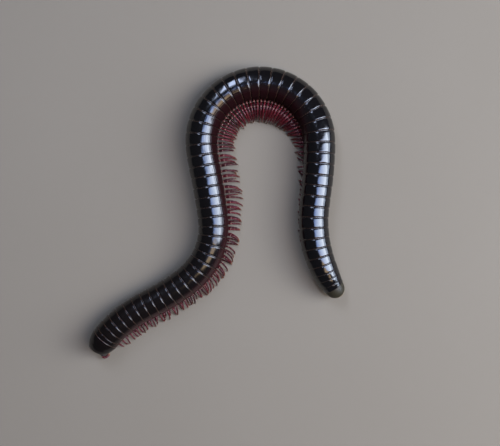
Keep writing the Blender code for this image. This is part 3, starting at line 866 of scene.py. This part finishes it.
def build_collum(cuticle):
    """The collar plate, and the neck under it."""
    shape = Shape()
    angles = np.linspace(COLLUM_CORNER, 360 - COLLUM_CORNER, COLLUM_COLUMNS)[None, :]
    away = from_belly(angles)
    shares, radii = smooth_route(COLLUM_PROFILE, COLLUM_SAMPLES)[0].T[..., None]
    front = at(COLLUM_FRONT, away)
    along = front + (COLLUM_REAR - front) * shares
    outer = at(RADIUS, along) * radii
    values = np.broadcast_arrays(away / 180, np.clip(shares, COLLUM_FIRST_SHARE, LAST_SHARE))
    shape.slab(round_body(along, angles, outer), round_body(along, angles, outer - PLATE_THICKNESS),
               np.stack(values, axis=-1))
    places = np.linspace(*NECK_ENDS, NECK_LOOPS)[:, None]
    around = np.arange(NECK_COLUMNS) * 360 / NECK_COLUMNS
    shape.loft(round_body(places, around, NECK_SHARE * at(RADIUS, places)), NECK_SHADE)
    shape.piece("collum.plate", "collum", "cuticle", cuticle)


def head_matrix():
    """The head's own axes in the world."""
    return animal_matrix(HEAD_PLACE, HEAD_HEIGHT, HEAD_ROLL, HEAD_PITCH)


def mirrored(point, side):
    """A point of the right side, or its mirror image on the left."""
    return (point[0] * side, point[1], point[2])


def surface_matrix(direction, side):
    """A place on the head capsule, in a direction from its centre, with the third axis outward."""
    direction = Vector(mirrored(direction, side)).normalized()
    point = Vector([share * half for share, half in zip(direction, CAPSULE.half)])
    outward = Vector([share / half for share, half in zip(direction, CAPSULE.half)]).normalized()
    return Matrix.Translation(point) @ outward.to_track_quat("Z", "Y").to_matrix().to_4x4()


def capsule_relief(points):
    """The head capsule's forms: crown and brow grooves, swollen face, antenna sockets and eye rims."""
    x, y, z = np.moveaxis(points, -1, 0)
    relief = ridge(x, *CROWN_GROOVE) * (z > CROWN_LOWEST) * at(CROWN_FADE, y)
    above_brow = z - BROW_HEIGHT - BROW_RISE * np.abs(x)
    relief += ridge(above_brow, *BROW_GROOVE) * (y > 0) * (np.abs(x) < BROW_HALF)
    relief += swell(points, FACE_CENTRE, *FACE)
    for side in (1, -1):
        socket = surface_matrix(ANTENNA_DIRECTION, side).translation
        relief += swell(points, socket, *SOCKET)
        relief += swell(points, socket + Vector(SOCKET_BROW_RISE), *SOCKET_BROW)
        eye = surface_matrix(EYE_DIRECTION, side).translation
        distance = np.linalg.norm(points - np.array(eye), axis=-1)
        relief += ridge(distance - EYE_RIM_RADIUS, *EYE_RIM)
    return relief


def cheek_relief(points):
    """The seam between the two plates of a mandible's base."""
    return ridge(points[..., 1] - CHEEK_SEAM_PLACE - CHEEK_SEAM_SLOPE * points[..., 2], *CHEEK_SEAM)


def lip_relief(points):
    """The seams of the lower lip plate: two at the sides that meet in front, and one in the middle."""
    x, y = points[..., 0], points[..., 1]
    sides = ridge(np.abs(x) - LIP_SIDE_PLACE - LIP_SIDE_SLOPE * y, *LIP_SIDE_SEAM)
    return np.minimum(sides, ridge(x, *LIP_MIDDLE_SEAM) * (y > 0))


def build_head(cuticle):
    """The head capsule with the plates of the mouth, and three teeth and four bristles on the upper lip."""
    place = head_matrix()
    shape = Shape()
    shape.orb(CAPSULE, place, capsule_relief)
    for side in (1, -1):
        shape.orb(CHEEK, place @ Matrix.Translation(mirrored(CHEEK_CENTRE, side)), cheek_relief)
    shape.orb(LABRUM, place @ Matrix.Translation(LABRUM_CENTRE))
    shape.orb(LIP_PLATE, place @ Matrix.Translation(LIP_PLATE_CENTRE), lip_relief)
    for tooth in (-1, 0, 1):
        centre = Vector(TOOTH_CENTRE) + tooth * Vector(TOOTH_STEP) + abs(tooth) * Vector(OUTER_TOOTH_RISE)
        shape.orb(TOOTH, place @ Matrix.Translation(centre))
    lean = Matrix.Rotation(math.radians(BRISTLE_LEAN), 4, "X")
    for bristle in (-3, -1, 1, 3):
        centre = Vector(BRISTLE_CENTRE) + bristle * Vector(BRISTLE_STEP)
        shape.orb(BRISTLE, place @ Matrix.Translation(centre) @ lean)
    shape.piece("head.capsule", "head", "cuticle", cuticle)


def build_eyes(lens):
    """On each side an oval field of small domed lenses in close rows."""
    columns, rows = [int(half / LENS_SPACING) + 1 for half in EYE_HALF[:2]]
    for name, side in (("eye_right", 1), ("eye_left", -1)):
        field = head_matrix() @ surface_matrix(EYE_DIRECTION, side)
        shape = Shape()
        shape.orb(EYE_SKIN, field)
        for row in range(-rows, rows + 1):
            for column in range(-columns, columns + 1):
                x = LENS_SPACING * (column + 0.5 * (row % 2))
                y = LENS_SPACING * LENS_ROW_SHARE * row
                inside = (x / EYE_HALF[0]) ** 2 + (y / EYE_HALF[1]) ** 2
                if inside < LENS_FIELD:
                    height = LENS_HEIGHT * EYE_HALF[2] * math.sqrt(1 - inside)
                    shape.orb(LENS, field @ Matrix.Translation((x, y, height)))
        shape.piece(name + ".lenses", name, "eye", lens)


def build_antennae(legs):
    """Short clubbed antennae of eight articles, folded down beside the mouth, with four cones at the tip."""
    place = head_matrix()
    across = np.array(place.to_3x3() @ Vector((1, 0, 0)))
    stations = article_stations(ANTENNA_ARTICLES, ANTENNA_STUB, ANTENNA_TIP)
    for name, side in (("antenna_right", 1), ("antenna_left", -1)):
        socket = surface_matrix(ANTENNA_DIRECTION, side)
        neck = [socket @ Vector((0, 0, out)) for out in ANTENNA_SOCKET]
        beyond = [neck[-1] + Vector(mirrored(step, side)) for step in ANTENNA_ROUTE]
        points = [place @ point for point in neck + beyond]
        for point in points:
            point.z = max(point.z, LOWEST_ANTENNA)
        route, gone = smooth_route([tuple(point) for point in points], ANTENNA_SAMPLES)
        shape = Shape()
        jointed_tube(shape, route, gone, stations, across, ANTENNA_COLUMNS, ANTENNA_TINT)
        for turn in np.radians(CONE_TURNS):
            tip = Vector(route[-1]) + CONE_CIRCLE * Vector((math.cos(turn), math.sin(turn), 0))
            shape.orb(CONE, Matrix.Translation(tip))
        shape.piece(name + ".articles", name, "leg_cuticle", legs)


def cut_skin(half_sizes, grid, cuts):
    """An ellipsoid that cuts, as (point, outward direction), press flat, with a pale margin by the last."""
    points = sphere_grid(*grid) * half_sizes
    for origin, outward in cuts:
        beyond = np.sum((points - origin) * outward, axis=-1, keepdims=True)
        points = points - np.maximum(beyond, 0) * outward
    pale = ridge(np.sum((points - origin) * outward, axis=-1), 1.0, MARGIN_WIDTH)
    return points, np.stack([pale, np.zeros_like(pale)], axis=-1)


def build_tail(finish):
    """The hood of the last segment, and the left and right valve under and behind it."""
    place = animal_matrix(TAIL_PLACE, axis_height(TAIL_PLACE), at(ROLL, TAIL_PLACE))
    slope = math.radians(HOOD_CUT_SLOPE)
    rear_down = np.array((0, -math.cos(slope), -math.sin(slope)))
    hood_cut = (rear_down * HOOD_CUT_DEPTH, rear_down)
    valve_cut = (rear_down * VALVE_START, -rear_down)
    forms = [("telson.hood", "telson", TAIL_HALF, HOOD_GRID, [hood_cut])]
    valve_half = np.array(TAIL_HALF) * VALVE_SCALE
    for name, side in (("anal_valve_right", 1), ("anal_valve_left", -1)):
        middle = (np.array((side * VALVE_GAP, 0, 0)), np.array((-side, 0, 0)))
        forms.append((name + ".plate", name, valve_half, VALVE_GRID, [valve_cut, middle]))
    for name, node, half_sizes, grid, cuts in forms:
        points, pattern = cut_skin(half_sizes, grid, cuts)
        shape = Shape()
        shape.loft(moved(points, place), pattern)
        shape.piece(name, node, "cuticle", finish)


def build_stage():
    """The floor, the soft light and the camera."""
    mesh = bpy.data.meshes.new("floor")
    half = FLOOR_HALF * MM
    mesh.from_pydata([(-half, -half, 0), (half, -half, 0), (half, half, 0), (-half, half, 0)], [],
                     [(0, 1, 2, 3)])
    mesh.materials.append(matt_floor())
    floor = bpy.data.objects.new("floor", mesh)
    bpy.context.scene.collection.objects.link(floor)

    world = bpy.data.worlds.new("studio")
    bpy.context.scene.world = world
    world.use_nodes = True
    background = world.node_tree.nodes["Background"].inputs
    background["Color"].default_value = linear(WORLD_COLOUR)
    background["Strength"].default_value = WORLD_STRENGTH

    for light in SOFTBOXES:
        softbox(*light)

    camera = bpy.data.objects.new("camera", bpy.data.cameras.new("camera"))
    bpy.context.scene.collection.objects.link(camera)
    camera.location = (VIEW_CENTRE[0] * MM, VIEW_CENTRE[1] * MM, CAMERA_HEIGHT * MM)
    camera.data.sensor_width = SENSOR_WIDTH
    camera.data.lens = SENSOR_WIDTH * (CAMERA_HEIGHT - VIEW_LEVEL) / VIEW_WIDTH
    camera.data.clip_start = NEAREST_SEEN * MM
    bpy.context.scene.camera = camera
    bpy.context.scene.view_settings.view_transform = "Standard"


def softbox(name, tilt, spread, turn, radiance, colours, taper):
    """A soft light with faded edges. Its colour changes from its west end to its east end, and a taper
    below 1 makes its west end narrower."""
    data = bpy.data.lights.new(name, "AREA")
    data.shape = "RECTANGLE"
    sizes = [2 * SOFTBOX_DISTANCE * MM * math.tan(math.radians(angle / 2)) for angle in spread]
    data.size, data.size_y = sizes
    data.energy = radiance * math.pi * data.size * data.size_y
    data.use_nodes = True
    data.node_tree.nodes.clear()
    across = add_node(data, "SeparateXYZ", {0: add_node(data, "NewGeometry").outputs["Parametric"]})
    fades = []
    narrower = add_node(data, "MapRange",
                        {"Value": across.outputs[0], "To Min": (taper - 1) / 2, "To Max": 0.0})
    for axis, (width, cut) in enumerate(zip(spread, (0.0, narrower))):
        to_side = add_node(data, "Math", {0: across.outputs[axis], 1: 0.5}, operation="PINGPONG")
        to_edge = add_node(data, "Math", {0: to_side, 1: cut}, operation="ADD")
        fades.append(add_node(data, "MapRange", {"Value": to_edge, "From Max": SOFTBOX_FADE / width},
                              interpolation_type="SMOOTHSTEP"))
    strength = add_node(data, "Math", {0: fades[0], 1: fades[1]}, operation="MULTIPLY")
    colour = add_node(data, "Mix", {FACTOR: across.outputs[0], FIRST: colours[0], SECOND: colours[1]},
                      data_type="RGBA")
    glow = add_node(data, "Emission", {"Color": colour, "Strength": strength})
    add_node(data, "OutputLight", {"Surface": glow})
    made = bpy.data.objects.new(name, data)
    bpy.context.scene.collection.objects.link(made)
    east, north = [math.radians(angle) for angle in tilt]
    aim = Matrix.Rotation(east, 4, "Y") @ Matrix.Rotation(-north, 4, "X")
    spin = Matrix.Rotation(math.radians(turn), 4, "Z")
    made.matrix_world = aim @ Matrix.Translation((0, 0, SOFTBOX_DISTANCE * MM)) @ spin


black = black_cuticle()
wine = wine_cuticle()
build_head(black)
build_eyes(eye_lens())
build_antennae(wine)
build_collum(black)
build_trunk(black, wine)
build_tail(tail_cuticle())
build_stage()
